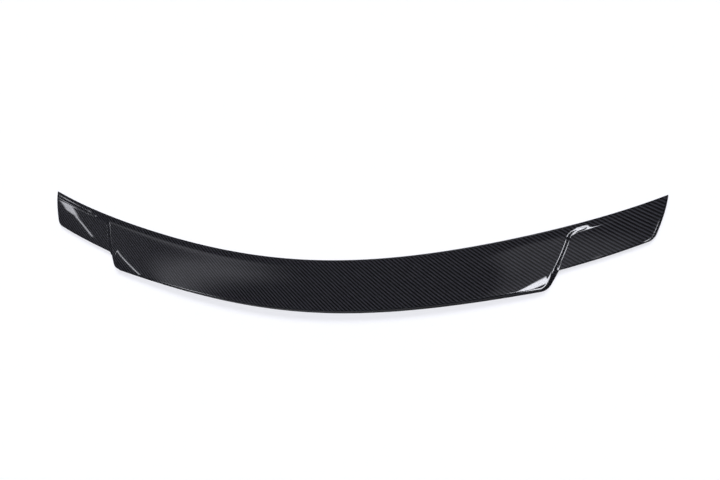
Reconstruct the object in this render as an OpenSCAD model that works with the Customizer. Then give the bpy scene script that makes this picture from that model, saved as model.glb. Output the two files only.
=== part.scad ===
// Trunk-lid lip spoiler, moulded in one piece as a thin laminate shell.
// X runs across the car, +Y points to the front of the car and +Z is up.
// The shell lies as it rests on a flat floor, with the origin under the middle of its box.

/* [Plan] */
// Width across the two tips
span = 1280; // [1120:10:1440]
// How far the tips reach forward of the middle of the leading edge
sweep = 126.5; // [100:0.5:150]
// Depth of the raised centre on the centre line
centre_chord = 97.5; // [85:0.5:115]
// Depth of the raised centre at its rear corners
centre_side_chord = 101.5; // [85:0.5:115]
// Distance from the centre line to the rear corner of the raised centre
centre_half = 455; // [380:0.5:500]
// How much further out the raised centre is at the front of its side
side_flare = 29; // [15:1:45]
// Outward bow of the side of the raised centre
side_bow = 3.5; // [0:0.5:4]
// Depth of the wing beside the raised centre
wing_root_chord = 71; // [60:0.5:78]
// Depth of the wing at its tip
wing_tip_chord = 65; // [55:0.5:75]
// How far the rear of the tip is set in from its front
tip_lean = 18; // [5:0.5:25]
// Power of the depth by which the side of the tip curves in
tip_bend = 1.6; // [1:0.1:2.2]
// Reach of the round at the rear corner of the tip
tip_round = 9; // [5:1:14]
// Reach of the round at the rear corner of the raised centre, at the rim
corner_round = 12; // [9:1:18]
// Reach of the round at the front corner of the raised centre, at the ridge
front_round = 16; // [10:1:20]

/* [Heights] */
// Height of the rear lip above the rim, on the centre line
lip_height = 18.5; // [14:0.5:24]
// Height of the rear lip at the corners of the raised centre
side_lip_height = 11.8; // [9:0.2:18]
// Drop of the raised centre at its rear corners
corner_drop = 2.3; // [0:0.1:2.5]
// How far that drop reaches along the lip
drop_width = 55; // [25:1:80]
// How far that drop reaches forward from the lip
drop_depth = 12; // [8:1:25]
// Height of the leading edge above the rim
nose_height = 2; // [1.8:0.1:3]
// Rise of the rolled nose of the raised centre
nose_roll = 4.2; // [3:0.1:5.5]
// Rise of the rolled nose of the wing
wing_roll = 1.3; // [1:0.1:2]
// Rise of the wing from its nose to its rear edge
wing_rise = 2.7; // [0.5:0.1:3.5]
// Height of the slight crown of the wing
crown_height = 1.2; // [0:0.1:2]
// How far that crown reaches on each side of its top line
crown_reach = 64; // [50:1:90]
// Length over which the nose rolls over
roll_length = 5; // [3:0.5:8]

/* [Walls and edges] */
// Thickness of the laminate
skin = 1.8; // [1.4:0.1:2.2]
// How far the round along the front and the tips reaches in
edge_round = 3.5; // [2:0.5:4.5]
// How far the round along the rear of the wings reaches in
rear_round = 1; // [0.5:0.1:2]
// Lean of the rear wall, from lip to rim
rear_run = 5; // [3:0.5:8]
// Lean of the side wall, from ridge to foot
side_run = 8; // [6:0.5:10]
// Lean of the low step behind the leading strip
strip_run = 9; // [6:0.5:11]
// Width of the leading strip beside the raised centre
strip_root = 8; // [6.5:0.5:12]
// Width of the leading strip at the tip
strip_tip = 4.5; // [4:0.5:7]
// Share of the wing's length over which the step runs out
step_fade = 0.45; // [0.35:0.05:0.9]

/* [Hidden] */

// Mesh counts: centre columns, wing columns, strip rows, side rows before and behind the notch
n_centre = 26;
n_wing = 16;
n_strip = 4;
n_side = 6;
n_notch = 5;
n_wall = 6;

half = span / 2;
front_half = centre_half + side_flare;
lip_power = 1.5;

// Leading edge: shares of the sweep carried by the second, fourth and sixth power of the width
lead_share = [1.185, -0.426, 0.241];

// Corners of the ridge: lean of the rear corner, tightness of its round, and of the front one at the foot
corner_lean = 5.5;
ridge_tightness = 0.6;
foot_tightness = 0.5;
// Lean of the line between the strip and the centre, which is only a line of the mesh
root_lean = 4;

// Top line of the wing's crown: the point it passes, and its turn from straight to the front
crown_point = [570, 53.5];
crown_turn = 52.8;

// Wall profile: ends of the round and of the fillet as shares of the run, and the bend of both
round_to = 0.3;
lip_round_to = 0.5;
fillet_from = 0.72;
bend = 0.35;
// A plain wall reaches the level of the wing at this share of its height, so it is a little hollow
plain_hollow = 0.7;
// The inside of a sloping wall is set in by less than the laminate's thickness, measured level
wall_shift = 0.6 * skin;
laminate = [0.13, 0.13, 0.15];
// Share of an edge's height that its round takes
round_share = 0.7;

// Plain helpers: blend, smooth step and a curve that rounds a corner
function mix(a, b, t) = a * (1 - t) + b * t;
function smooth(t) = let (c = min(1, max(0, t))) c * c * (3 - 2 * c);
function rounded(a, b, c, t) = (1 - t) * (1 - t) * a + 2 * t * (1 - t) * b + t * t * c;
function toward(a, b, reach) = a + (b - a) * reach / norm(b - a);
function exact(p) = [for (v = p) round(v * 10000) / 10000];

// Leading edge, and the depth of the raised centre and of the wing behind it
function lead_y(x) = sweep * (lead_share * [for (n = [2, 4, 6]) pow(x / half, n)]);
function centre_depth(x) = mix(centre_chord, centre_side_chord, pow(x / centre_half, 4));
function wing_depth(x) =
    mix(wing_root_chord, wing_tip_chord, (x - front_half) / (half - tip_lean - front_half));
function strip_depth(x) =
    mix(strip_tip, strip_root, pow(max(0, (half - x) / (half - front_half)), 2));

// Heights above the rim: rolled nose, hollow rise to the lip, and the lower wing
function nose(d, rise) = nose_height + rise * (1 - exp(-max(0, d) / roll_length));
function lip_level(x) = mix(lip_height, side_lip_height, pow(x / centre_half, 2));
function centre_height(x, d) = let (c = min(x, centre_half)) nose(d, nose_roll)
    + (lip_level(c) - nose_height - nose_roll) * pow(max(0, d) / centre_depth(c), lip_power)
    - corner_drop * exp(-(centre_half - c) / drop_width - max(0, centre_depth(c) - d) / drop_depth);
function wing_crown(x, y) = let (
    off = cos(crown_turn) * (x - crown_point.x) - sin(crown_turn) * (y - crown_point.y)
) crown_height * (1 - pow(min(1, abs(off) / crown_reach), 2));
function wing_height(x, d) = nose(d, wing_roll) + wing_crown(x, lead_y(x) - d)
    + wing_rise * min(1, max(0, d / wing_root_chord));
function step_left(x) = 1 - smooth((x - front_half) / (step_fade * (half - front_half)));
function top_height(p) = let (d = lead_y(p.x) - p.y)
    mix(wing_height(p.x, d), centre_height(p.x, d), step_left(p.x));
function low_height(p) = wing_height(p.x, lead_y(p.x) - p.y);
function lift(p, height) = exact([p.x, p.y, height]);

// Outer edge in plan, set in by a distance
function lead_at(x, inset) = [x, lead_y(x) - inset];
function tip_at(d, inset) =
    let (x = half - inset - tip_lean * pow(d / wing_tip_chord, tip_bend)) [x, lead_y(x) - d];
function wing_rear_at(x, inset) = [x, lead_y(x) - wing_depth(x) + inset];

// Ridge to foot: q is 0 on the ridge and 1 on the foot or rim, and shift moves both inward
function strip_at(x, q, shift) = [x, lead_y(x) - strip_depth(x) + shift - q * strip_run];
function lip_at(x, q, shift) = [x, lead_y(x) - centre_depth(x) + rear_run * (1 - q) + shift];
function front_corner(q, shift) = strip_at(front_half - shift + q * side_run, q, shift);
function rear_corner(q, shift) = lip_at(centre_half - shift - corner_lean * (1 - q), q, shift);
function side_at(t, q, shift) =
    mix(front_corner(q, shift), rear_corner(q, shift), t) + [4 * side_bow * t * (1 - t), 0];
function front_reach(q) = front_round * mix(1, foot_tightness, q);
function rear_reach(q) = corner_round * mix(ridge_tightness, 1, q);

// The notch lies where the foot of the side wall meets the rear edge of the wing
function notch_guess(t, shift, n) = n == 0 ? t : let (
    a = front_corner(1, shift),
    b = rear_corner(1, shift),
    p = side_at(t, 1, shift)
) notch_guess((a.y - wing_rear_at(p.x, shift).y) / (a.y - b.y), shift, n - 1);

// Points along the ridge, foot or any line of the wall between them
function strip_line(q, shift, inset) = let (
    c = front_corner(q, shift),
    reach = front_reach(q),
    a = strip_at(c.x + reach, q, shift),
    b = toward(c, side_at(0.5, q, shift), reach),
    d_tip = strip_tip - shift + q * strip_run,
    tip = tip_at(d_tip, inset)
) [
    for (i = [0:n_wing - 3])
        let (x = mix(tip.x, a.x, i / (n_wing - 2))) i == 0 ? tip : strip_at(x, q, shift),
    a,
    rounded(a, c, b, 0.25),
    rounded(a, c, b, 0.5)
];
function side_line(q, shift) = let (
    c = front_corner(q, shift),
    e = rear_corner(q, shift),
    reach = front_reach(q),
    a = strip_at(c.x + reach, q, shift),
    b = toward(c, side_at(0.5, q, shift), reach),
    t_front = reach / norm(e - c),
    t_notch = notch_guess(0.5, shift, 8),
    t_rear = 1 - rear_reach(q) / norm(e - c),
    f = side_at(t_rear, q, shift),
    g = lip_at(e.x - rear_reach(q), q, shift)
) [
    rounded(a, c, b, 0.75),
    for (i = [0:n_side - 2]) side_at(mix(t_front, t_notch, i / (n_side - 2)), q, shift),
    for (i = [1:n_notch - 2]) side_at(mix(t_notch, t_rear, i / (n_notch - 2)), q, shift),
    rounded(f, e, g, 0.25),
    rounded(f, e, g, 0.5)
];
function lip_line(q, shift) = let (
    e = rear_corner(q, shift),
    t_rear = 1 - rear_reach(q) / norm(e - front_corner(q, shift)),
    f = side_at(t_rear, q, shift),
    g = lip_at(e.x - rear_reach(q), q, shift)
) [
    rounded(f, e, g, 0.75),
    for (i = [0:n_centre - 2]) lip_at(mix(g.x, 0, i / (n_centre - 2)), q, shift)
];
function ridge_line(q, shift, inset) =
    concat(strip_line(q, shift, inset), side_line(q, shift), lip_line(q, shift));

// How far the wall at point i has turned from a step on the wing to a plain wall down to the rim
i_notch = n_wing + n_side;
function plain_wall(i) = smooth((i - i_notch) / 2);

// One profile of the wall: round at the ridge, slope, fillet at the foot, as [q, height] pairs
function wall_profile(top, low, plain) = let (
    a = [0, top],
    b = [mix(round_to, lip_round_to, plain), top],
    e = [mix(1, 1 - plain_hollow * low / top, plain), low],
    c = mix([fillet_from, low], mix(e, b, round_to), plain),
    b_end = mix(b, c, bend),
    c_start = mix(c, b, bend)
) [
    a,
    rounded(a, b, b_end, bend),
    rounded(a, b, b_end, 2 * bend),
    b_end,
    c_start,
    rounded(c_start, c, e, 0.5),
    e
];

// Point of the wall at place i along the ridge, for one pair of its profile
function wall_point(lines, i, pair) = let (
    n = len(lines) - 1,
    k = min(n - 1, floor(pair[0] * n)),
    p = mix(lines[k][i], lines[k + 1][i], pair[0] * n - k)
) lift(p, pair[1]);
function wall_grid(shift, inset, drop) = let (
    lines = [for (k = [0:8]) ridge_line(k / 8, shift, inset)]
) [
    for (i = [0:len(lines[0]) - 1])
        let (
            top = top_height(lines[0][i]) - drop,
            low = low_height(lines[8][i]) - drop
        )
        [for (pair = wall_profile(top, low, plain_wall(i))) wall_point(lines, i, pair)]
];

// A patch filled in from its four sides, in plan
function patch(front, rear, left, right, us, vs) = let (
    n = len(front) - 1,
    m = len(left) - 1
) [
    for (i = [0:n]) [
        for (j = [0:m]) let (u = us[i], v = vs[j])
            mix(front[i], rear[i], v) + mix(left[j], right[j], u)
            - mix(mix(front[0], front[n], u), mix(rear[0], rear[n], u), v)
    ]
];
function even(n) = [for (i = [0:n]) i / n];

// Strip between the leading edge and the ridge, from the tip to the raised centre
function strip_patch(shift, inset) = let (
    rear = strip_line(0, shift, inset),
    root = rear[n_wing],
    front = [
        for (i = [0:n_wing])
            lead_at(mix(half - inset, root.x - root_lean, i / n_wing), inset)
    ],
    d_tip = strip_tip - shift,
    left = [for (j = [0:n_strip]) tip_at(mix(inset, d_tip, j / n_strip), inset)],
    right = [for (j = [0:n_strip]) mix(front[n_wing], root, j / n_strip)]
) patch(front, rear, left, right, even(n_wing), even(n_strip));

// Raised centre, from its side to the centre line
function centre_patch(shift, inset) = let (
    root = strip_line(0, shift, inset)[n_wing],
    side = side_line(0, shift),
    rear = concat([side[n_side + n_notch - 1]], lip_line(0, shift)),
    start = lead_at(root.x - root_lean, inset),
    front = [for (i = [0:n_centre]) lead_at(mix(start.x, 0, i / n_centre), inset)],
    right = concat([for (j = [0:n_strip]) mix(start, root, j / n_strip)], side),
    share = strip_root / centre_chord,
    n_rows = n_side + n_notch,
    vs = concat(
        [for (j = [0:n_strip]) share * j / n_strip],
        [for (j = [1:n_rows]) mix(share, 1, j / n_rows)]
    ),
    left = [for (v = vs) mix(front[n_centre], rear[n_centre], v)]
) patch(front, rear, right, left, even(n_centre), vs);

// Rear edge of the wing from the round at the tip to the notch, and the tip's own edge
function wing_rear_line(shift, inset, behind) = let (
    c = tip_at(wing_tip_chord - behind, inset),
    a = tip_at(wing_tip_chord - behind - tip_round, inset),
    b = wing_rear_at(c.x - tip_round, behind),
    notch = side_line(1, shift)[n_side - 1],
    n = n_wing - 2
) [
    rounded(a, c, b, 0.5),
    rounded(a, c, b, 0.75),
    for (i = [0:n])
        let (
            t = i / n,
            x = mix(b.x, notch.x, t),
            fade = smooth((1 - t) * 6)
        )
        i == n ? notch : wing_rear_at(x, mix(shift, behind, fade))
];
function tip_line(shift, inset, behind) = let (
    c = tip_at(wing_tip_chord - behind, inset),
    a = tip_at(wing_tip_chord - behind - tip_round, inset),
    b = wing_rear_at(c.x - tip_round, behind),
    d_foot = strip_tip - shift + strip_run,
    n = n_side - 2
) [
    for (j = [0:n]) tip_at(mix(d_foot, wing_tip_chord - behind - tip_round, j / n), inset),
    rounded(a, c, b, 0.25),
    rounded(a, c, b, 0.5)
];
function wing_patch(shift, inset, behind) = let (
    front = strip_line(1, shift, inset),
    side = side_line(1, shift),
    right = concat([front[n_wing]], [for (j = [0:n_side - 1]) side[j]]),
    rear = wing_rear_line(shift, inset, behind),
    left = tip_line(shift, inset, behind)
) patch(front, rear, left, right, even(n_wing), even(n_side));

// Right half of one face of the laminate, as grids of points: the walls are shifted in, the
// front and tip are set in by inset, and the rear of the wing by behind
function half_grids(shift, inset, behind, drop) = [
    [for (c = centre_patch(shift, inset)) [for (p = c) lift(p, top_height(p) - drop)]],
    [for (c = strip_patch(shift, inset)) [for (p = c) lift(p, top_height(p) - drop)]],
    wall_grid(shift, inset, drop),
    [for (c = wing_patch(shift, inset, behind)) [for (p = c) lift(p, low_height(p) - drop)]]
];

// The edge of those grids: leading edge, tip, rear of the wing, notch, side and rear wall
function edge_of(grids) = let (
    centre = grids[0],
    strip = grids[1],
    wall = grids[2],
    wing = grids[3]
) [
    for (i = [n_centre:-1:0]) centre[i][0],
    for (i = [n_wing - 1:-1:0]) strip[i][0],
    for (j = [1:n_strip]) strip[0][j],
    for (k = [1:n_wall]) wall[0][k],
    for (j = [1:n_side]) wing[0][j],
    for (i = [1:n_wing]) wing[i][n_side],
    for (i = [i_notch + 1:len(wall) - 1]) wall[i][n_wall]
];

// The rim under that edge, where the wall behind the notch comes down to its foot
n_front_edge = n_centre + 2 * n_wing + n_strip + n_wall + n_side;
function rim_under(edge, shift, inset) = let (foot = ridge_line(1, shift, inset)) [
    for (i = [0:len(edge) - 1])
        lift(i > n_front_edge ? foot[i - n_front_edge + i_notch] : edge[i], 0)
];

// Column of points from the edge down to the rim: a round under the guide, or a straight wall
function edge_column(edge, guide, rim, plain) = let (
    level = mix(guide, mix(edge, rim, 0.5), plain),
    low = mix(mix(rim, [rim.x, rim.y, guide.z], 1 - round_share), mix(edge, rim, round_share), plain)
) concat([edge], [for (j = [1:3]) exact(rounded(edge, level, low, j / 3))], [rim]);
function edge_plain(i) = plain_wall(i - n_front_edge + i_notch);

// All faces of the right half: outside, inside and the rim between them
outer_grids = half_grids(0, edge_round, rear_round, 0);
inner_grids = half_grids(wall_shift, skin, skin, skin);
outer_edge = edge_of(outer_grids);
inner_edge = edge_of(inner_grids);
outer_guide = edge_of(half_grids(0, 0, 0, 0));
outer_rim = rim_under(outer_guide, 0, 0);
inner_rim = rim_under(inner_edge, wall_shift, skin);
n_edge = len(outer_edge) - 1;
out_facing = concat(outer_grids, [
    [for (i = [0:n_edge]) edge_column(outer_edge[i], outer_guide[i], outer_rim[i], edge_plain(i))],
    [for (i = [0:n_edge]) [outer_rim[i], inner_rim[i]]]
]);
in_facing = concat(inner_grids, [
    [for (i = [0:n_edge]) [inner_edge[i], inner_rim[i]]]
]);

// Grids as one list of points and triangles; turned grids are seen from their other side
function grid_triangles(g, first, turned) = let (
    n = len(g) - 1,
    m = len(g[0])
) [
    for (i = [0:n - 1], j = [0:m - 2]) let (
        a = first + i * m + j,
        b = a + m
    ) each turned ? [[a, b, b + 1], [a, b + 1, a + 1]] : [[b + 1, b, a], [a + 1, b + 1, a]]
];
function grid_size(g) = len(g) * len(g[0]);
function firsts(grids, i, sum) =
    i == len(grids) ? [] : concat([sum], firsts(grids, i + 1, sum + grid_size(grids[i])));
function mirrored(grids) = [for (g = grids) [for (c = g) [for (p = c) [-p.x, p.y, p.z]]]];

module spoiler_shell() {
    grids = concat(out_facing, mirrored(in_facing), in_facing, mirrored(out_facing));
    n_turned = len(out_facing) + len(in_facing);
    start = firsts(grids, 0, 0);
    middle = (sweep - centre_chord) / 2;
    color(laminate)
        polyhedron(
            points = [for (g = grids, c = g, p = c) exact(p - [0, middle, 0])],
            faces = [for (i = [0:len(grids) - 1]) each grid_triangles(grids[i], start[i], i >= n_turned)]
        );
}

spoiler_shell();
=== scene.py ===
"""Looks of a trunk-lid spoiler in woven carbon: its shell, cloth, studio and camera.

The shell is the surface of part.scad with finer rounds. All sizes are in metres, in the frame of the
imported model: X across the car, +Y to the front of the car and Z up from the floor.
"""
import math
from types import SimpleNamespace

import bmesh
import bpy
import numpy as np
from bpy.props import FloatProperty, FloatVectorProperty, IntProperty, PointerProperty
from mathutils import Matrix, Vector


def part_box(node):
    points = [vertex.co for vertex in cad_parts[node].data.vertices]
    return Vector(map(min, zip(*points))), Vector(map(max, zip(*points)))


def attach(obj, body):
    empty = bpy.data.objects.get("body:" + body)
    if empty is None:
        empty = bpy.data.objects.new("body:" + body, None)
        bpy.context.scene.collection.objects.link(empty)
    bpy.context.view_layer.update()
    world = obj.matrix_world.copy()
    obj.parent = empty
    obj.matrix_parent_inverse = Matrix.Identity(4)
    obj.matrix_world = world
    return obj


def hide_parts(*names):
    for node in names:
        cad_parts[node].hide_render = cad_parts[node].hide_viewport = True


bl_info = {
    "name": "Trunk-lid spoiler in woven carbon",
    "version": (1, 0, 0),
    "blender": (4, 5, 0),
    "location": "View3D > Sidebar > Spoiler",
    "description": "Builds a lip spoiler in twill carbon under clear coat, and a plain studio",
    "category": "Object",
}

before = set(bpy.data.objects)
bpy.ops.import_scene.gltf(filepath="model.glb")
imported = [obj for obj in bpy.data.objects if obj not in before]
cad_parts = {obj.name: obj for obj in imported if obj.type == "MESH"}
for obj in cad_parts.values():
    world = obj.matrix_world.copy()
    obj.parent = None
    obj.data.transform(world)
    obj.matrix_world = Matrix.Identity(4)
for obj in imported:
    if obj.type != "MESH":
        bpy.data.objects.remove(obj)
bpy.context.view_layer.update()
shell_low, shell_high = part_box("spoiler_shell")

# Soft lights of the studio: the middle as azimuth and elevation and the turn in degrees, the half
# sizes and the softness as tangents
SKY_PANELS = {
    "corner_softbox": {"level": "overhead_level", "middle": (-120.9, 77.0), "turn": 90.0,
                       "half_size": (0.091, 0.024), "soft": 0.008},
    "overhead_softbox": {"level": "overhead_level", "middle": (-25.3, 83.0), "turn": 32.0,
                         "half_size": (0.132, 0.166), "soft": 0.012},
    "tip_light": {"level": "overhead_level", "middle": (-175.6, 82.6), "turn": -22.0,
                  "half_size": (0.07, 0.03), "soft": 0.01},
    "front_softbox": {"level": "front_level", "middle": (170.0, 42.0), "turn": 0.0,
                      "half_size": (0.30, 0.15), "soft": 0.05},
    "window_light": {"level": "window_level", "middle": (-107.0, 46.95), "turn": 8.8,
                     "half_size": (0.027, 0.0071), "soft": 0.0018},
    "window_edge": {"level": "window_level", "middle": (-104.1, 47.9), "turn": 48.1,
                    "half_size": (0.0115, 0.0018), "soft": 0.0012},
    "lip_light": {"level": "lip_level", "middle": (-90.0, 51.2), "turn": 0.0,
                  "half_size": (0.11, 0.025), "soft": 0.01},
    "milky_screen": {"level": "screen_level", "middle": (-114.0, 51.0), "turn": 0.0,
                     "half_size": (0.035, 0.06), "soft": 0.03},
    "left_room": {"level": "left_level", "middle": (-108.0, 48.5), "turn": 0.0,
                  "half_size": (0.07, 0.05), "soft": 0.04},
    "high_screen": {"level": "high_level", "middle": (-122.5, 69.5), "turn": 0.0,
                    "half_size": (0.045, 0.075), "soft": 0.02},
}
# Least cosine from a panel's middle at which the panel is still drawn
PANEL_AHEAD = 0.05
SKY_TINT = (0.98, 0.99, 1.06, 1.0)
FLOOR_REACH = 6.0
FLOOR_SHADE = 0.8
FLOOR_GLOW = 0.22
SENSOR_WIDTH = 36.0

# The shell's finishes, in the order of its list of materials
FINISHES = {
    "carbon_gloss": {"coat": 1.0, "specular": 0.05, "roughness": 0.38, "bump": 0.00025},
    "carbon_bare": {"coat": 0.0, "specular": 0.2, "roughness": 0.5, "bump": 0.0003},
    "carbon_satin": {"coat": 0.0, "specular": 0.02, "roughness": 0.5, "bump": 0.0001},
}
GLOSS, BARE, SATIN = range(3)
COAT_ROUGHNESS = 0.02
COAT_IOR = 1.5

# Place of the wall among the four grids of a half
WALL = 2
WALL_LEVELS = 17
WELD = 2e-7

# Places of a Mix node's low and high inputs and of its output
MIX_SOCKETS = {"FLOAT": (2, 3, 0), "RGBA": (6, 7, 2)}


def length(name, default, words):
    """Property of a length in metres."""
    return FloatProperty(name=name, description=words, default=default, min=0.0, precision=5,
                         subtype="DISTANCE", unit="LENGTH")


def share(name, default, words):
    """Property of a plain number."""
    return FloatProperty(name=name, description=words, default=default, precision=4)


def colour(name, default, words):
    """Property of a linear colour."""
    return FloatVectorProperty(name=name, description=words, default=default, size=3,
                               min=0.0, max=1.0, subtype="COLOR")


def count(name, default, words):
    """Property of a number of faces."""
    return IntProperty(name=name, description=words, default=default, min=4)


class SpoilerPlan(bpy.types.PropertyGroup):
    """Sizes of the spoiler seen from above"""
    span: length("Span", shell_high.x - shell_low.x, "Width across the two tips")
    sweep: length("Sweep", 0.1265, "How far the tips reach forward of the middle")
    centre_chord: length("Centre chord", 0.0975, "Depth of the raised centre on the centre line")
    centre_side_chord: length("Side chord", 0.1015, "Depth of the raised centre at its corners")
    centre_half: length("Centre half", 0.455, "Centre line to the rear corner of the raised centre")
    side_flare: length("Side flare", 0.029, "How much further out the side is at its front")
    side_bow: length("Side bow", 0.0035, "Outward bow of the side of the raised centre")
    wing_root_chord: length("Wing root", 0.071, "Depth of the wing beside the raised centre")
    wing_tip_chord: length("Wing tip", 0.065, "Depth of the wing at its tip")
    tip_lean: length("Tip lean", 0.018, "How far the rear of the tip is set in")
    tip_bend: share("Tip bend", 1.6, "Power of the depth by which the tip's side curves in")
    tip_round: length("Tip round", 0.009, "Reach of the round at the tip's rear corner")
    corner_round: length("Corner round", 0.012, "Reach of the round at the centre's rear corner")
    corner_lean: length("Corner lean", 0.0055, "Inward lean of the rear corner at the ridge")
    strip_root: length("Strip root", 0.008, "Leading strip beside the raised centre")
    strip_tip: length("Strip tip", 0.0045, "Leading strip at the tip")
    front_round: length("Front round", 0.016, "Reach of the round at the centre's front corner")
    root_lean: length("Root lean", 0.004, "Lean of the mesh line between strip and centre")
    lead_2: share("Lead square", 1.185, "Share of the sweep carried by the width squared")
    lead_4: share("Lead fourth", -0.426, "Share of the sweep carried by the fourth power")
    lead_6: share("Lead sixth", 0.241, "Share of the sweep carried by the sixth power")


class SpoilerHeights(bpy.types.PropertyGroup):
    """Heights, rounds and walls of the spoiler"""
    lip_height: length("Lip", 0.0185, "Height of the rear lip on the centre line")
    side_lip_height: length("Side lip", 0.0118, "Height of the rear lip at its corners")
    corner_drop: length("Corner drop", 0.0023, "Drop of the raised centre at its rear corners")
    drop_width: length("Drop width", 0.055, "How far that drop reaches along the lip")
    drop_depth: length("Drop depth", 0.012, "How far that drop reaches forward from the lip")
    nose_height: length("Nose", 0.002, "Height of the leading edge above the rim")
    nose_roll: length("Nose roll", 0.0042, "Rise of the rolled nose of the raised centre")
    wing_roll: length("Wing roll", 0.0013, "Rise of the rolled nose of the wing")
    wing_rise: length("Wing rise", 0.0027, "Rise of the wing from its nose to its rear edge")
    crown_height: length("Crown height", 0.0012, "Height of the wing's slight crown")
    crown_turn: share("Crown turn", 52.8, "Turn of the crown's bend, in degrees")
    crown_x: length("Crown X", 0.570, "Where the crown's top line passes, outward")
    crown_y: length("Crown Y", 0.0535, "Where the crown's top line passes, forward")
    crown_reach: length("Crown reach", 0.064, "How far the crown reaches from its top line")
    roll_length: length("Roll length", 0.005, "Length over which the nose rolls over")
    skin: length("Skin", 0.0018, "Thickness of the laminate")
    edge_round: length("Edge round", 0.0035, "Reach of the round along the front and the tips")
    rear_round: length("Rear round", 0.0010, "Reach of the round along the rear of the wings")
    rear_run: length("Rear run", 0.005, "Lean of the rear wall, from lip to rim")
    side_run: length("Side run", 0.008, "Lean of the side wall, from ridge to foot")
    strip_run: length("Strip run", 0.009, "Lean of the low step behind the leading strip")
    step_fade: share("Step fade", 0.45, "Share of the wing over which the step runs out")
    lip_power: share("Lip power", 1.5, "How late the hollow top rises to the lip")
    ridge_tightness: share("Ridge tightness", 0.6, "Round of the rear corner at the ridge")
    foot_tightness: share("Foot tightness", 0.5, "Round of the front corner at the foot")
    round_to: share("Round to", 0.3, "Where the round of the wall's top ends")
    lip_round_to: share("Lip round to", 0.5, "Where the round of the lip ends")
    fillet_from: share("Fillet from", 0.72, "Where the fillet at the wall's foot starts")
    bend: share("Bend", 0.35, "How far the round and the fillet reach into the slope")
    plain_hollow: share("Plain hollow", 0.7, "Where a plain wall passes the wing's level")
    round_share: share("Round share", 0.7, "Share of an edge's height that its round takes")
    wall_set: share("Wall set", 0.6, "Inset of the inner wall, in skins")
    notch_blend: share("Notch blend", 6.0, "How soon the wing's rear leaves the foot of the wall")


class SpoilerMesh(bpy.types.PropertyGroup):
    """Fineness of the shell's grids"""
    n_centre: count("Centre columns", 150, "Columns from the corner to the centre line")
    n_wing: count("Wing columns", 72, "Columns from the tip to the raised centre")
    n_strip: count("Strip rows", 10, "Rows across the leading strip")
    n_side: count("Side rows", 24, "Rows from the front corner to the notch")
    n_notch: count("Notch rows", 18, "Rows from the notch to the rear corner")
    n_turn: count("Turn steps", 6, "Steps on half of a corner's round")
    n_edge: count("Edge steps", 6, "Steps on the round of an edge")
    plain_rows: share("Plain rows", 0.4, "Share of the notch rows over which the step ends")
    sharp: FloatProperty(name="Sharp", description="Edges steeper than this stay sharp",
                         default=math.radians(38), subtype="ANGLE")


class SpoilerCloth(bpy.types.PropertyGroup):
    """Weave of the carbon cloth"""
    tow: length("Tow", 0.00174, "Width of one tow of the cloth")
    lay: FloatProperty(name="Lay", description="Turn of the cloth from the car's width",
                       default=math.radians(9.0), subtype="ANGLE")
    follow: share("Follow", 0.70, "How far the cloth bends with the leading edge")
    # Painted sheen: the light tow's colour stands in for the glint that lengthwise fibres catch from
    # the lights; the dark tow is the carbon's own black
    sheen_lit_tow: colour("Light tow", (0.037, 0.037, 0.046), "Tows that run along the spoiler")
    dark_tow: colour("Dark tow", (0.0012, 0.0012, 0.0015), "Tows that run across the spoiler")
    # Painted shade: the gap tone is the darkness painted between the tows and down the flanks of
    # their arches
    gap_shade: share("Gap tone", 0.35, "Tone between the tows, as a share of the dark tow")
    fibres_across: share("Fibres across", 9.0, "Rate of the fibre streaks across a tow")
    fibres_along: share("Fibres along", 0.35, "Rate of the fibre streaks along a tow")
    tow_tone: share("Tow tone", 0.6, "Strength of a tow's tone without streaks")
    streak_tone: share("Streak tone", 0.8, "Strength that the fibre streaks add to the tone")


class SpoilerStudio(bpy.types.PropertyGroup):
    """Camera and levels of the studio's lights"""
    azimuth: FloatProperty(name="Azimuth", description="Camera's turn about Z from behind",
                           default=math.radians(75.79), subtype="ANGLE")
    elevation: FloatProperty(name="Elevation", description="Camera's height above the floor",
                             default=math.radians(62.17), subtype="ANGLE")
    roll: FloatProperty(name="Roll", description="Camera's turn about its own axis",
                        default=math.radians(-72.35), subtype="ANGLE")
    distance: length("Distance", 1.8599, "From the leading edge's middle to the camera")
    aside: length("Aside", 0.0928, "Camera's move to its own right")
    above: length("Above", 0.0368, "Camera's move along its own up")
    lens: FloatProperty(name="Lens", description="Focal length in millimetres on a 36 mm sensor",
                        default=50.0)
    room_level: share("Room level", 0.06, "Brightness of the studio's walls and ceiling")
    overhead_level: share("Overhead level", 20.0, "Brightness of the three softboxes overhead")
    front_level: share("Front level", 7.0, "Brightness of the softbox in front of the spoiler")
    window_level: share("Window level", 8.0, "Brightness of the narrow window and its edge")
    lip_level: share("Lip level", 14.0, "Brightness of the small light that lines the lip")
    screen_level: share("Screen level", 0.8, "Brightness of the dim screen over the left part")
    left_level: share("Left level", 0.17, "Brightness of the wall beyond the left tip")
    high_level: share("High level", 0.42, "Brightness of the dim screen over the right part")


PROPERTY_GROUPS = {
    "spoiler_plan": SpoilerPlan,
    "spoiler_heights": SpoilerHeights,
    "spoiler_mesh": SpoilerMesh,
    "spoiler_cloth": SpoilerCloth,
    "spoiler_studio": SpoilerStudio,
}
SHELL_GROUPS = ("spoiler_plan", "spoiler_heights", "spoiler_mesh", "spoiler_cloth")


def values(scene, *names):
    """Plain numbers of the named property groups, in one namespace."""
    out = {}
    for name in names:
        group = getattr(scene, name)
        for key in PROPERTY_GROUPS[name].__annotations__:
            out[key] = getattr(group, key)
    return SimpleNamespace(**out)


def mix(a, b, t):
    """Straight blend from a to b."""
    return a * (1 - t) + b * t


def smooth(t):
    """Step from 0 to 1 with level ends, 3t^2 - 2t^3."""
    c = np.clip(t, 0, 1)
    return c * c * (3 - 2 * c)


def at(x, y):
    """Points in plan from their coordinates."""
    x, y = np.broadcast_arrays(np.asarray(x, float), np.asarray(y, float))
    return np.stack([x, y], -1)


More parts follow.
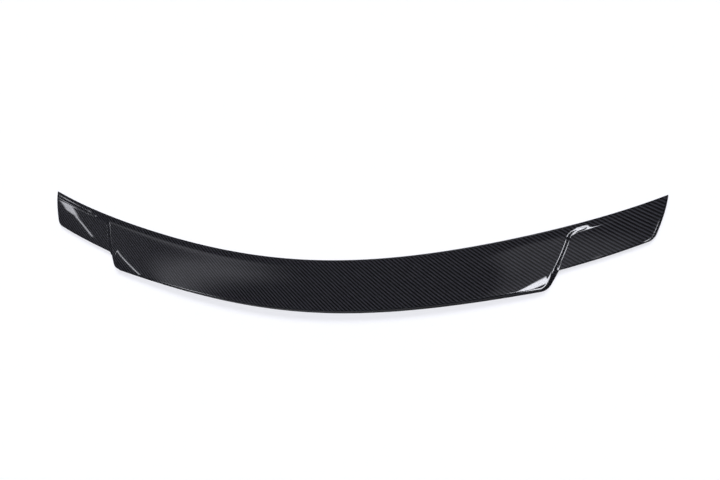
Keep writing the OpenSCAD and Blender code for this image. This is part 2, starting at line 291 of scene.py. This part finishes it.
def rounded(a, b, c, t):
    """Curve from a to c that rounds the corner b: (1-t)^2 a + 2t(1-t) b + t^2 c."""
    t = np.asarray(t, float)[..., None]
    return (1 - t) ** 2 * a + 2 * t * (1 - t) * b + t * t * c


def toward(a, b, reach):
    """Point at a given reach from a on the way to b."""
    return a + (b - a) * reach / np.linalg.norm(b - a)


def lead_y(s, x):
    """Leading edge: the sweep times a polynomial of the width with even powers."""
    u = x / s.half
    return s.sweep * (s.lead_2 * u ** 2 + s.lead_4 * u ** 4 + s.lead_6 * u ** 6)


def centre_depth(s, x):
    """Depth of the raised centre behind the leading edge, by the fourth power of the width."""
    return mix(s.centre_chord, s.centre_side_chord, (x / s.centre_half) ** 4)


def wing_depth(s, x):
    """Depth of the wing, straight from its root to its tip."""
    out = (x - s.front_half) / (s.half - s.tip_lean - s.front_half)
    return mix(s.wing_root_chord, s.wing_tip_chord, out)


def strip_depth(s, x):
    """Depth of the leading strip, by the square of the distance from the tip."""
    out = np.maximum(0, (s.half - x) / (s.half - s.front_half))
    return mix(s.strip_tip, s.strip_root, out ** 2)


def nose(s, depth, rise):
    """Rolled nose: its height plus a rise that levels off exponentially behind the edge."""
    return s.nose_height + rise * (1 - np.exp(-np.maximum(0, depth) / s.roll_length))


def centre_height(s, x, depth):
    """Height of the raised centre: the nose plus a power of the depth up to the lip.

    A drop that dies away exponentially along the lip and ahead of it softens the rear corner.
    """
    inner = np.minimum(x, s.centre_half)
    part = np.maximum(0, depth) / centre_depth(s, inner)
    lip = mix(s.lip_height, s.side_lip_height, (inner / s.centre_half) ** 2)
    rise = lip - s.nose_height - s.nose_roll
    aside = (s.centre_half - inner) / s.drop_width
    ahead = (centre_depth(s, inner) - depth) / s.drop_depth
    drop = s.corner_drop * np.exp(-aside - np.maximum(0, ahead))
    return nose(s, depth, s.nose_roll) + rise * part ** s.lip_power - drop


def wing_crown(s, x, y):
    """Crown of the wing: its height times 1 less the square of the distance over its reach."""
    turn = math.radians(s.crown_turn)
    off = math.cos(turn) * (x - s.crown_x) - math.sin(turn) * (y - s.crown_y)
    return s.crown_height * (1 - np.minimum(1, np.abs(off) / s.crown_reach) ** 2)


def wing_height(s, x, depth):
    """Height of the wing: the nose, a straight rise to the rear edge and a slight crown."""
    part = np.clip(depth / s.wing_root_chord, 0, 1)
    crown = wing_crown(s, x, lead_y(s, x) - depth)
    return nose(s, depth, s.wing_roll) + s.wing_rise * part + crown


def top_height(s, p):
    """Height of the strip and the centre: the centre's own, fading to the wing's at the tips."""
    x = p[..., 0]
    depth = lead_y(s, x) - p[..., 1]
    fade = 1 - smooth((x - s.front_half) / (s.step_fade * (s.half - s.front_half)))
    return mix(wing_height(s, x, depth), centre_height(s, x, depth), fade)


def low_height(s, p):
    """Height of the wing at points in plan."""
    x = p[..., 0]
    return wing_height(s, x, lead_y(s, x) - p[..., 1])


def lift(p, height):
    """Points in space from points in plan and their heights."""
    height = np.broadcast_to(height, p.shape[:-1])
    return np.concatenate([p, height[..., None]], -1)


def lead_at(s, x, inset):
    """Point behind the leading edge by an inset."""
    return at(x, lead_y(s, x) - inset)


def tip_at(s, depth, inset):
    """Point on the tip's side, which curves inward by a power of the depth."""
    x = s.half - inset - s.tip_lean * (depth / s.wing_tip_chord) ** s.tip_bend
    return at(x, lead_y(s, x) - depth)


def wing_rear_at(s, x, inset):
    """Point on the rear edge of the wing."""
    return at(x, lead_y(s, x) - wing_depth(s, x) + inset)


def strip_at(s, x, q, shift):
    """Point on the step behind the strip: q runs from its ridge at 0 to its foot at 1."""
    return at(x, lead_y(s, x) - strip_depth(s, x) + shift - q * s.strip_run)


def lip_at(s, x, q, shift):
    """Point on the rear wall: q runs from the lip at 0 to the rim at 1."""
    return at(x, lead_y(s, x) - centre_depth(s, x) + s.rear_run * (1 - q) + shift)


def side_ends(s, q, shift):
    """Front and rear corner of the side wall, before they are rounded."""
    front = strip_at(s, s.front_half - shift + q * s.side_run, q, shift)
    rear = lip_at(s, s.centre_half - shift - s.corner_lean * (1 - q), q, shift)
    return front, rear


def side_at(s, t, q, shift):
    """Point on the side wall: straight between its corners, bowed out by 4t(1-t)."""
    front, rear = side_ends(s, q, shift)
    t = np.asarray(t, float)
    return mix(front, rear, t[..., None]) + at(4 * s.side_bow * t * (1 - t), 0)


def notch_place(s, shift):
    """Place along the foot of the side wall where the wing's rear edge meets it."""
    front, rear = side_ends(s, 1, shift)
    t = 0.5
    for _ in range(8):
        p = side_at(s, t, 1, shift)
        t = (front[1] - wing_rear_at(s, p[0], shift)[1]) / (front[1] - rear[1])
    return t


def corners(s, q, shift):
    """Points where the rounds of both corners start and end, and their places on the side."""
    front, rear = side_ends(s, q, shift)
    front_reach = s.front_round * mix(1, s.foot_tightness, q)
    rear_reach = s.corner_round * mix(s.ridge_tightness, 1, q)
    side = np.linalg.norm(rear - front)
    t_rear = 1 - rear_reach / side
    return SimpleNamespace(
        front=front,
        rear=rear,
        strip_end=strip_at(s, front[0] + front_reach, q, shift),
        side_start=toward(front, side_at(s, 0.5, q, shift), front_reach),
        side_end=side_at(s, t_rear, q, shift),
        lip_start=lip_at(s, rear[0] - rear_reach, q, shift),
        t_front=front_reach / side,
        t_rear=t_rear,
    )


def strip_line(s, q, shift, inset):
    """Line of the step behind the strip, from the tip to half way round the front corner."""
    c = corners(s, q, shift)
    tip = tip_at(s, s.strip_tip - shift + q * s.strip_run, inset)
    n = s.n_wing - s.n_turn
    run = strip_at(s, mix(tip[0], c.strip_end[0], np.arange(n) / n), q, shift)
    run[0] = tip
    turn = rounded(c.strip_end, c.front, c.side_start, np.linspace(0, 0.5, s.n_turn + 1))
    return np.concatenate([run, turn])


def side_line(s, q, shift):
    """Line of the side wall, from inside the front corner's round to half way round the rear."""
    c = corners(s, q, shift)
    t_notch = notch_place(s, shift)
    turn = np.linspace(0.5, 1, s.n_turn + 1)[1:-1]
    first = rounded(c.strip_end, c.front, c.side_start, turn)
    before = side_at(s, np.linspace(c.t_front, t_notch, s.n_side - s.n_turn + 1), q, shift)
    after = side_at(s, np.linspace(t_notch, c.t_rear, s.n_notch - s.n_turn + 1)[1:], q, shift)
    last = rounded(c.side_end, c.rear, c.lip_start, np.linspace(0, 0.5, s.n_turn + 1)[1:])
    return np.concatenate([first, before, after, last])


def lip_line(s, q, shift):
    """Line of the rear wall, from inside the rear corner's round to the centre line."""
    c = corners(s, q, shift)
    turn = np.linspace(0.5, 1, s.n_turn + 1)[1:-1]
    first = rounded(c.side_end, c.rear, c.lip_start, turn)
    run = lip_at(s, np.linspace(c.lip_start[0], 0, s.n_centre - s.n_turn + 1), q, shift)
    return np.concatenate([first, run])


def ridge_line(s, q, shift, inset):
    """Whole line at q of the wall, from the tip to the centre line."""
    parts = [strip_line(s, q, shift, inset), side_line(s, q, shift), lip_line(s, q, shift)]
    return np.concatenate(parts)


def plain_share(s, i):
    """0 where the wall is a step on the wing and 1 where it runs down to the rim."""
    return smooth((i - s.n_wing - s.n_side) / (s.plain_rows * s.n_notch))


def wall_profile(s, top, low, plain):
    """Profiles of the wall, as q and height: a round, a slope and a fillet, each a curve."""
    start = at(0, top)
    over = at(mix(s.round_to, s.lip_round_to, plain), top)
    foot = at(mix(1, 1 - s.plain_hollow * low / top, plain), low)
    blend = plain[:, None]
    under = mix(at(s.fillet_from, low), mix(foot, over, s.round_to), blend)
    round_end = mix(over, under, s.bend)
    fillet_start = mix(under, over, s.bend)
    steps = np.linspace(0, 1, s.n_edge + 1)
    rows = [rounded(start, over, round_end, t) for t in steps]
    rows += [mix(round_end, fillet_start, t) for t in (1 / 3, 2 / 3)]
    rows += [rounded(fillet_start, under, foot, t) for t in steps]
    return np.moveaxis(np.stack(rows, 1), -1, 0)


def wall_grid(s, shift, inset, drop):
    """Wall as a grid: a profile at each place along the ridge, laid across the lines of q."""
    lines = [ridge_line(s, q, shift, inset) for q in np.linspace(0, 1, WALL_LEVELS)]
    lines = np.stack(lines)
    top = top_height(s, lines[0]) - drop
    low = low_height(s, lines[-1]) - drop
    i = np.arange(lines.shape[1])
    q, height = wall_profile(s, top, low, plain_share(s, i))
    place = q * (WALL_LEVELS - 1)
    k = np.clip(np.floor(place).astype(int), 0, WALL_LEVELS - 2)
    part = (place - k)[..., None]
    return lift(mix(lines[k, i[:, None]], lines[k + 1, i[:, None]], part), height)


def patch(front, rear, left, right, vs):
    """Patch in plan filled from its four sides: both straight blends less their shared corners."""
    u = np.linspace(0, 1, len(front))[:, None, None]
    v = vs[None, :, None]
    across = mix(front[:, None], rear[:, None], v)
    along = mix(left[None], right[None], u)
    shared = mix(mix(front[0], front[-1], u), mix(rear[0], rear[-1], u), v)
    return across + along - shared


def strip_patch(s, shift, inset):
    """Leading strip in plan, from the tip to the raised centre."""
    rear = strip_line(s, 0, shift, inset)
    x = np.linspace(s.half - inset, rear[-1][0] - s.root_lean, s.n_wing + 1)
    front = lead_at(s, x, inset)
    vs = np.linspace(0, 1, s.n_strip + 1)
    left = tip_at(s, mix(inset, s.strip_tip - shift, vs), inset)
    right = mix(front[-1], rear[-1], vs[:, None])
    return patch(front, rear, left, right, vs)


def centre_patch(s, shift, inset):
    """Raised centre in plan, from its side to the centre line."""
    root = strip_line(s, 0, shift, inset)[-1]
    side = side_line(s, 0, shift)
    rear = np.concatenate([side[-1:], lip_line(s, 0, shift)])
    start = lead_at(s, root[0] - s.root_lean, inset)
    front = lead_at(s, np.linspace(start[0], 0, s.n_centre + 1), inset)
    strip_vs = np.linspace(0, 1, s.n_strip + 1)
    right = np.concatenate([mix(start, root, strip_vs[:, None]), side])
    strip_part = s.strip_root / s.centre_chord
    side_vs = np.linspace(strip_part, 1, s.n_side + s.n_notch + 1)[1:]
    vs = np.concatenate([strip_part * strip_vs, side_vs])
    left = mix(front[-1], rear[-1], vs[:, None])
    return patch(front, rear, right, left, vs)


def tip_corner(s, inset, behind):
    """Rear corner of the tip, and where its round starts and ends."""
    corner = tip_at(s, s.wing_tip_chord - behind, inset)
    start = tip_at(s, s.wing_tip_chord - behind - s.tip_round, inset)
    return start, corner, wing_rear_at(s, corner[0] - s.tip_round, behind)


def wing_rear_line(s, shift, inset, behind):
    """Rear edge of the wing, from half way round the tip's corner to the notch."""
    start, corner, end = tip_corner(s, inset, behind)
    notch = side_at(s, notch_place(s, shift), 1, shift)
    t = np.linspace(0, 1, s.n_wing - s.n_turn + 1)
    inset_at = mix(shift, behind, smooth((1 - t) * s.notch_blend))
    run = wing_rear_at(s, mix(end[0], notch[0], t), inset_at)
    run[-1] = notch
    turn = rounded(start, corner, end, np.linspace(0.5, 1, s.n_turn + 1)[:-1])
    return np.concatenate([turn, run])


def tip_line(s, shift, inset, behind):
    """Side of the tip, from the foot of the step to half way round its corner."""
    start, corner, end = tip_corner(s, inset, behind)
    foot = s.strip_tip - shift + s.strip_run
    depths = np.linspace(foot, s.wing_tip_chord - behind - s.tip_round, s.n_side - s.n_turn + 1)
    turn = rounded(start, corner, end, np.linspace(0, 0.5, s.n_turn + 1)[1:])
    return np.concatenate([tip_at(s, depths, inset), turn])


def wing_patch(s, shift, inset, behind):
    """Wing in plan, between the foot of the step, the side wall, its rear edge and the tip."""
    front = strip_line(s, 1, shift, inset)
    right = np.concatenate([front[-1:], side_line(s, 1, shift)[:s.n_side]])
    rear = wing_rear_line(s, shift, inset, behind)
    vs = np.linspace(0, 1, s.n_side + 1)
    return patch(front, rear, tip_line(s, shift, inset, behind), right, vs)


def half_grids(s, shift, inset, behind, drop):
    """Right half of one face of the laminate: centre, strip, wall and wing.

    The walls are shifted in, the front and tip set in by inset, and the wing's rear by behind.
    """
    centre = centre_patch(s, shift, inset)
    strip = strip_patch(s, shift, inset)
    wing = wing_patch(s, shift, inset, behind)
    return [
        lift(centre, top_height(s, centre) - drop),
        lift(strip, top_height(s, strip) - drop),
        wall_grid(s, shift, inset, drop),
        lift(wing, low_height(s, wing) - drop),
    ]


def edge_of(s, grids):
    """Edge of those grids: leading edge, tip, rear of the wing, notch, side and rear wall."""
    centre, strip, wall, wing = grids
    return np.concatenate([
        centre[::-1, 0],
        strip[-2::-1, 0],
        strip[0, 1:],
        wall[0, 1:],
        wing[0, 1:],
        wing[1:, -1],
        wall[s.n_wing + s.n_side + 1:, -1],
    ])


def rim_under(s, edge, shift, inset):
    """Rim on the floor: under the edge, and along the foot of the wall behind the notch."""
    rim = edge[:, :2].copy()
    foot = ridge_line(s, 1, shift, inset)[s.n_wing + s.n_side + 1:]
    rim[-len(foot):] = foot
    return lift(rim, 0.0)


def edge_columns(s, edge, guide, rim, plain):
    """Columns from the edge down to the rim: a round under the guide, or a straight wall."""
    plain = plain[:, None]
    level = mix(guide, mix(edge, rim, 0.5), plain)
    under = rim + [0, 0, 1 - s.round_share] * guide
    low = mix(under, mix(edge, rim, s.round_share), plain)
    steps = np.linspace(0, 1, s.n_edge + 1)
    rounds = [rounded(edge, level, low, t) for t in steps]
    return np.stack([*rounds, rim], 1)


def cloth_place(s, p):
    """Place on the cloth: x, and the distance behind the leading edge drawn flatter by follow."""
    x = p[..., 0]
    return np.stack([x, s.follow * lead_y(s, x) - p[..., 1]], -1)


def cloth_grid(s, grid, falls):
    """Cloth coordinates of a grid, which run on down a wall by the height it has fallen."""
    cloth = cloth_place(s, grid)
    cloth[..., 1] += falls
    return cloth


def right_half(s):
    """All faces of the right half, as (points, cloth places, turned, finishes) for each grid."""
    wall_shift = s.wall_set * s.skin
    outer = half_grids(s, 0.0, s.edge_round, s.rear_round, 0.0)
    inner = half_grids(s, wall_shift, s.skin, s.skin, s.skin)
    outer_edge = edge_of(s, outer)
    inner_edge = edge_of(s, inner)
    guide = edge_of(s, half_grids(s, 0.0, 0.0, 0.0, 0.0))
    outer_rim = rim_under(s, guide, 0.0, 0.0)
    inner_rim = rim_under(s, inner_edge, wall_shift, s.skin)
    plain = plain_share(s, np.arange(outer[WALL].shape[0]))
    edge_plain = np.zeros(len(outer_edge))
    behind_notch = plain[s.n_wing + s.n_side + 1:]
    edge_plain[-len(behind_notch):] = behind_notch
    columns = edge_columns(s, outer_edge, guide, outer_rim, edge_plain)
    column_falls = columns[:, :1, 2] - columns[..., 2]
    column_falls[:s.n_centre + s.n_wing + 1] *= -1
    wall_height = outer[WALL][:, :1, 2] - outer[WALL][:, -1:, 2]
    column_falls[-len(behind_notch):] += (plain[:, None] * wall_height)[-len(behind_notch):]
    made = []
    for grids, inside in ((outer, False), (inner, True)):
        for k, grid in enumerate(grids):
            falls = 0.0
            finish = np.full(np.subtract(grid.shape[:2], 1), BARE if inside else GLOSS)
            if k == WALL:
                falls = plain[:, None] * (grid[:, :1, 2] - grid[..., 2])
                if not inside:
                    finish[s.n_wing + s.n_side:, s.n_edge // 2:] = SATIN
            made.append((grid, cloth_grid(s, grid, falls), inside, finish))
    finish = np.full(np.subtract(columns.shape[:2], 1), SATIN)
    rounded_off = len(outer_edge) - len(behind_notch) - s.n_wing + s.n_turn
    finish[:rounded_off, :s.n_edge // 2] = GLOSS
    made.append((columns, cloth_grid(s, columns, column_falls), False, finish))
    rim = np.stack([outer_rim, inner_rim], 1)
    bare_row = np.full((len(rim) - 1, 1), BARE)
    made.append((rim, cloth_grid(s, rim, 0.0), False, bare_row))
    lining = np.stack([inner_edge, inner_rim], 1)
    made.append((lining, cloth_grid(s, lining, 0.0), True, bare_row))
    return made


def grid_quads(n, m, first, turned):
    """Corners of a grid's faces, in the order that faces them outward."""
    index = first + np.arange(n * m).reshape(n, m)
    quads = np.stack([index[:-1, :-1], index[1:, :-1], index[1:, 1:], index[:-1, 1:]], -1)
    return quads.reshape(-1, 4)[:, ::-1 if turned else 1]


def shell_faces(s):
    """Points, faces, cloth places and finishes of the whole shell, its left half mirrored."""
    middle = (s.sweep - s.centre_chord) / 2
    points, quads, cloths, finishes = [], [], [], []
    first = 0
    for sign in (1.0, -1.0):
        for grid, cloth, turned, finish in right_half(s):
            n, m = grid.shape[:2]
            points.append(grid.reshape(-1, 3) * [sign, 1, 1] - [0, middle, 0])
            cloths.append(cloth.reshape(-1, 2) * [sign, 1])
            quads.append(grid_quads(n, m, first, turned != (sign < 0)))
            finishes.append(finish.ravel())
            first += n * m
    return tuple(np.concatenate(part) for part in (points, quads, cloths, finishes))


def part_finishes(mesh):
    """Makes an edge sharp where the lowest and highest finish of its faces differ."""
    edge = np.empty(len(mesh.loops), np.int32)
    mesh.loops.foreach_get("edge_index", edge)
    finish = np.empty(len(mesh.polygons), np.int32)
    mesh.polygons.foreach_get("material_index", finish)
    corners = np.empty(len(mesh.polygons), np.int32)
    mesh.polygons.foreach_get("loop_total", corners)
    by_corner = np.repeat(finish, corners)
    lowest = np.full(len(mesh.edges), SATIN)
    highest = np.full(len(mesh.edges), GLOSS)
    np.minimum.at(lowest, edge, by_corner)
    np.maximum.at(highest, edge, by_corner)
    sharp = np.empty(len(mesh.edges), bool)
    mesh.edges.foreach_get("use_edge_sharp", sharp)
    mesh.edges.foreach_set("use_edge_sharp", sharp | (lowest < highest))


def mesh_from(name, points, quads, cloth, finishes, sharp):
    """Mesh with its cloth map, welded where grids meet, smooth but for edges over an angle."""
    mesh = bpy.data.meshes.new(name)
    mesh.from_pydata(points.tolist(), [], quads.tolist())
    corner = np.empty(len(mesh.loops), np.int32)
    mesh.loops.foreach_get("vertex_index", corner)
    layer = mesh.uv_layers.new(name="cloth")
    layer.data.foreach_set("uv", cloth[corner].astype(np.float32).ravel())
    mesh.polygons.foreach_set("material_index", finishes.astype(np.int32))
    work = bmesh.new()
    work.from_mesh(mesh)
    bmesh.ops.remove_doubles(work, verts=work.verts, dist=WELD)
    open_edges = sum(not edge.is_manifold for edge in work.edges)
    if open_edges:
        raise RuntimeError(f"{name} has {open_edges} edges that don't close")
    if work.calc_volume(signed=True) <= 0:
        raise RuntimeError(f"{name} is inside out")
    work.to_mesh(mesh)
    work.free()
    mesh.polygons.foreach_set("use_smooth", np.ones(len(mesh.polygons), bool))
    mesh.set_sharp_from_angle(angle=sharp)
    part_finishes(mesh)
    return mesh


def feed(tree, socket, value):
    """Gives a socket a link from another socket, or a constant."""
    if isinstance(value, bpy.types.NodeSocket):
        tree.links.new(value, socket)
    else:
        socket.default_value = value


def node(tree, kind, **sockets):
    """Shader node with constants or links on its named inputs."""
    made = tree.nodes.new(kind)
    for name, value in sockets.items():
        feed(tree, made.inputs[name.replace("_", " ")], value)
    return made


def math_of(tree, operation, *terms):
    """Output of a Math node on its terms, in order."""
    made = tree.nodes.new("ShaderNodeMath")
    made.operation = operation
    for place, term in enumerate(terms):
        feed(tree, made.inputs[place], term)
    return made.outputs[0]


def pick(tree, chance, low, high, kind="FLOAT"):
    """Number, or colour of the kind RGBA, that is low where chance is 0 and high where it is 1."""
    made = tree.nodes.new("ShaderNodeMix")
    made.data_type = kind
    low_place, high_place, out_place = MIX_SOCKETS[kind]
    for place, term in ((0, chance), (low_place, low), (high_place, high)):
        feed(tree, made.inputs[place], term)
    return made.outputs[out_place]


def twill(tree, cloth):
    """Twill of two over and two under: lengthwise share, tow height and fibre streaks.

    In tow widths, the crosswise tow of column i is on top where (Y - i) mod 4 is under 2, and
    the lengthwise tow of row j where (X - j - 1) mod 4 is. A float is an arch along its two
    cells and across its width.
    """
    uv = tree.nodes.new("ShaderNodeUVMap")
    uv.uv_map = "cloth"
    parts = node(tree, "ShaderNodeSeparateXYZ", Vector=uv.outputs[0])
    along, behind = parts.outputs[0], parts.outputs[1]
    cosine = math.cos(cloth.lay) / cloth.tow
    sine = math.sin(cloth.lay) / cloth.tow
    x = math_of(tree, "MULTIPLY_ADD", along, cosine, math_of(tree, "MULTIPLY", behind, -sine))
    y = math_of(tree, "MULTIPLY_ADD", along, sine, math_of(tree, "MULTIPLY", behind, cosine))
    column = math_of(tree, "FLOOR", x)
    row = math_of(tree, "FLOOR", y)
    cross_place = math_of(tree, "FLOORED_MODULO", math_of(tree, "SUBTRACT", y, column), 4.0)
    long_start = math_of(tree, "SUBTRACT", math_of(tree, "SUBTRACT", x, row), 1.0)
    long_place = math_of(tree, "FLOORED_MODULO", long_start, 4.0)
    lengthwise = math_of(tree, "GREATER_THAN", cross_place, 2.0)
    float_place = math_of(tree, "MULTIPLY", pick(tree, lengthwise, cross_place, long_place), 0.5)
    width_place = math_of(tree, "FRACT", pick(tree, lengthwise, x, y))
    heights = []
    for place in (float_place, width_place):
        rest = math_of(tree, "SUBTRACT", 1.0, place)
        heights.append(math_of(tree, "MULTIPLY", math_of(tree, "MULTIPLY", place, rest), 4.0))
    height = math_of(tree, "SQRT", math_of(tree, "MULTIPLY", heights[0], heights[1]))
    fibre_across = math_of(tree, "MULTIPLY", pick(tree, lengthwise, x, y), cloth.fibres_across)
    fibre_along = math_of(tree, "MULTIPLY", pick(tree, lengthwise, y, x), cloth.fibres_along)
    fibre = node(tree, "ShaderNodeCombineXYZ", X=fibre_across, Y=fibre_along, Z=lengthwise)
    streaks = node(tree, "ShaderNodeTexNoise", Vector=fibre.outputs[0], Scale=1.0, Detail=3.0)
    return lengthwise, height, streaks.outputs[0]


def carbon_material(name, cloth, coat, specular, roughness, bump):
    """Carbon twill in resin: a dark tow and a lighter tow whose colour is a painted sheen of its
    fibres, raised tows with painted shade down their flanks and in the gaps, fibre streaks and a
    clear coat.
    """
    material = bpy.data.materials.new(name)
    material.use_nodes = True
    tree = material.node_tree
    shader = tree.nodes["Principled BSDF"]
    lengthwise, height, streaks = twill(tree, cloth)
    # Painted shade: by the arch height of each tow, its colour fades toward the darker gap colour
    # down its flanks, varied by the fibre streaks
    streaked = math_of(tree, "MULTIPLY_ADD", streaks, cloth.streak_tone, cloth.tow_tone)
    seen = math_of(tree, "MULTIPLY", height, streaked)
    # Painted sheen: lengthwise tows take the lighter colour, in place of the glint of their fibres
    tow = pick(tree, lengthwise, (*cloth.dark_tow, 1.0), (*cloth.sheen_lit_tow, 1.0), "RGBA")
    gap = (*(cloth.gap_shade * c for c in cloth.dark_tow), 1.0)
    tree.links.new(pick(tree, seen, gap, tow, "RGBA"), shader.inputs["Base Color"])
    raised = node(tree, "ShaderNodeBump", Height=height, Distance=bump, Strength=1.0)
    tree.links.new(raised.outputs[0], shader.inputs["Normal"])
    shader.inputs["Roughness"].default_value = roughness
    shader.inputs["Specular IOR Level"].default_value = specular
    shader.inputs["Coat Weight"].default_value = coat
    shader.inputs["Coat Roughness"].default_value = COAT_ROUGHNESS
    shader.inputs["Coat IOR"].default_value = COAT_IOR
    return material


class SPOILER_OT_shell(bpy.types.Operator):
    """Build the carbon shell with its cloth and clear coat"""
    bl_idname = "spoiler.shell"
    bl_label = "Carbon shell"

    def execute(self, context):
        s = values(context.scene, *SHELL_GROUPS)
        s.half = s.span / 2
        s.front_half = s.centre_half + s.side_flare
        mesh = mesh_from("carbon_shell", *shell_faces(s), s.sharp)
        shell = bpy.data.objects.new("carbon_shell", mesh)
        context.scene.collection.objects.link(shell)
        for name, finish in FINISHES.items():
            mesh.materials.append(carbon_material(name, s, **finish))
        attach(shell, "root")
        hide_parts("spoiler_shell")
        return {"FINISHED"}


def axes_toward(azimuth, elevation, turn):
    """Right, up and outward axes of the camera or of a light in the sky.

    The outward axis points from behind the spoiler round to its right by the azimuth, and up by
    the elevation. The other two are turned about it.
    """
    ground = math.cos(elevation)
    outward = Vector((math.sin(azimuth) * ground, -math.cos(azimuth) * ground, math.sin(elevation)))
    level = Vector((math.cos(azimuth), math.sin(azimuth), 0))
    upright = outward.cross(level)
    right = math.cos(turn) * level + math.sin(turn) * upright
    up = math.cos(turn) * upright - math.sin(turn) * level
    return right, up, outward


def sky_panel(tree, direction, panel, level):
    """Brightness of a soft rectangle in the sky, level along its width before its turn.

    A direction is cut with the panel's plane at distance 1: u and v are its dot products with
    the panel's axes over that with its middle. Each side fades over the panel's soft width.
    """
    across, along, middle = axes_toward(*map(math.radians, (*panel["middle"], panel["turn"])))
    dots = []
    for axis in (middle, across, along):
        dot = tree.nodes.new("ShaderNodeVectorMath")
        dot.operation = "DOT_PRODUCT"
        tree.links.new(direction, dot.inputs[0])
        dot.inputs[1].default_value = axis
        dots.append(dot.outputs["Value"])
    ahead = math_of(tree, "GREATER_THAN", dots[0], PANEL_AHEAD)
    strength = math_of(tree, "MULTIPLY", ahead, level)
    for dot, reach in zip(dots[1:], panel["half_size"]):
        place = math_of(tree, "ABSOLUTE", math_of(tree, "DIVIDE", dot, dots[0]))
        fade = node(tree, "ShaderNodeMapRange", Value=place)
        fade.interpolation_type = "SMOOTHSTEP"
        fade.inputs["From Min"].default_value = reach + panel["soft"]
        fade.inputs["From Max"].default_value = reach - panel["soft"]
        strength = math_of(tree, "MULTIPLY", strength, fade.outputs[0])
    return strength


def studio_world(studio):
    """Dim room with soft panels of light in its sky."""
    world = bpy.data.worlds.new("studio_world")
    world.use_nodes = True
    tree = world.node_tree
    direction = tree.nodes.new("ShaderNodeTexCoord").outputs["Generated"]
    total = studio.room_level
    for panel in SKY_PANELS.values():
        light = sky_panel(tree, direction, panel, getattr(studio, panel["level"]))
        total = math_of(tree, "ADD", total, light)
    background = tree.nodes["Background"]
    tree.links.new(total, background.inputs["Strength"])
    background.inputs["Color"].default_value = SKY_TINT
    return world


def white_floor_material():
    """Pale floor that the camera and reflections see as white, and that keeps shadows."""
    material = bpy.data.materials.new("white_floor")
    material.use_nodes = True
    tree = material.node_tree
    shader = tree.nodes["Principled BSDF"]
    shader.inputs["Base Color"].default_value = (FLOOR_SHADE, FLOOR_SHADE, FLOOR_SHADE, 1.0)
    shader.inputs["Roughness"].default_value = 1.0
    shader.inputs["Specular IOR Level"].default_value = 0.0
    rays = tree.nodes.new("ShaderNodeLightPath")
    seen = math_of(tree, "MAXIMUM", rays.outputs["Is Camera Ray"], rays.outputs["Is Glossy Ray"])
    seen = math_of(tree, "MAXIMUM", seen, rays.outputs["Is Transmission Ray"])
    shader.inputs["Emission Color"].default_value = (1.0, 1.0, 1.0, 1.0)
    glow = math_of(tree, "MULTIPLY", seen, FLOOR_GLOW)
    tree.links.new(glow, shader.inputs["Emission Strength"])
    return material


class SPOILER_OT_studio(bpy.types.Operator):
    """Set up the white floor, the soft lights, the world and the camera"""
    bl_idname = "spoiler.studio"
    bl_label = "Studio"

    def execute(self, context):
        scene = context.scene
        studio = values(scene, "spoiler_studio")
        plan = values(scene, "spoiler_plan")
        signs = ((-1, -1), (1, -1), (1, 1), (-1, 1))
        floor_corners = [(i * FLOOR_REACH, j * FLOOR_REACH, 0.0) for i, j in signs]
        floor_mesh = bpy.data.meshes.new("floor")
        floor_mesh.from_pydata(floor_corners, [], [(0, 1, 2, 3)])
        floor_mesh.materials.append(white_floor_material())
        floor = bpy.data.objects.new("floor", floor_mesh)
        scene.collection.objects.link(floor)

        scene.world = studio_world(studio)

        right, up, back = axes_toward(studio.azimuth, studio.elevation, studio.roll)
        start = Vector((0, (plan.centre_chord - plan.sweep) / 2, 0))
        place = start + studio.distance * back + studio.aside * right + studio.above * up
        data = bpy.data.cameras.new("camera")
        data.lens = studio.lens
        data.sensor_width = SENSOR_WIDTH
        camera = bpy.data.objects.new("camera", data)
        turn = Matrix((right, up, back)).transposed().to_4x4()
        camera.matrix_world = Matrix.Translation(place) @ turn
        scene.collection.objects.link(camera)
        scene.camera = camera
        scene.view_settings.view_transform = "Standard"
        return {"FINISHED"}


class SPOILER_PT_panel(bpy.types.Panel):
    """Sidebar panel with the spoiler's operators"""
    bl_idname = "SPOILER_PT_panel"
    bl_label = "Spoiler"
    bl_space_type = "VIEW_3D"
    bl_region_type = "UI"
    bl_category = "Spoiler"

    def draw(self, context):
        for operator in OPERATORS:
            self.layout.operator(operator.bl_idname)


OPERATORS = (SPOILER_OT_shell, SPOILER_OT_studio)
CLASSES = (*PROPERTY_GROUPS.values(), *OPERATORS, SPOILER_PT_panel)


def register():
    """Register the classes and hang the property groups on the scene."""
    for made in CLASSES:
        bpy.utils.register_class(made)
    for name, group in PROPERTY_GROUPS.items():
        setattr(bpy.types.Scene, name, PointerProperty(type=group))


def unregister():
    """Take the property groups and classes away again."""
    for name in PROPERTY_GROUPS:
        delattr(bpy.types.Scene, name)
    for made in reversed(CLASSES):
        bpy.utils.unregister_class(made)


def main():
    """Register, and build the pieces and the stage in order."""
    register()
    bpy.ops.spoiler.shell()
    bpy.ops.spoiler.studio()
    bpy.context.view_layer.update()


if __name__ == "__main__":
    main()
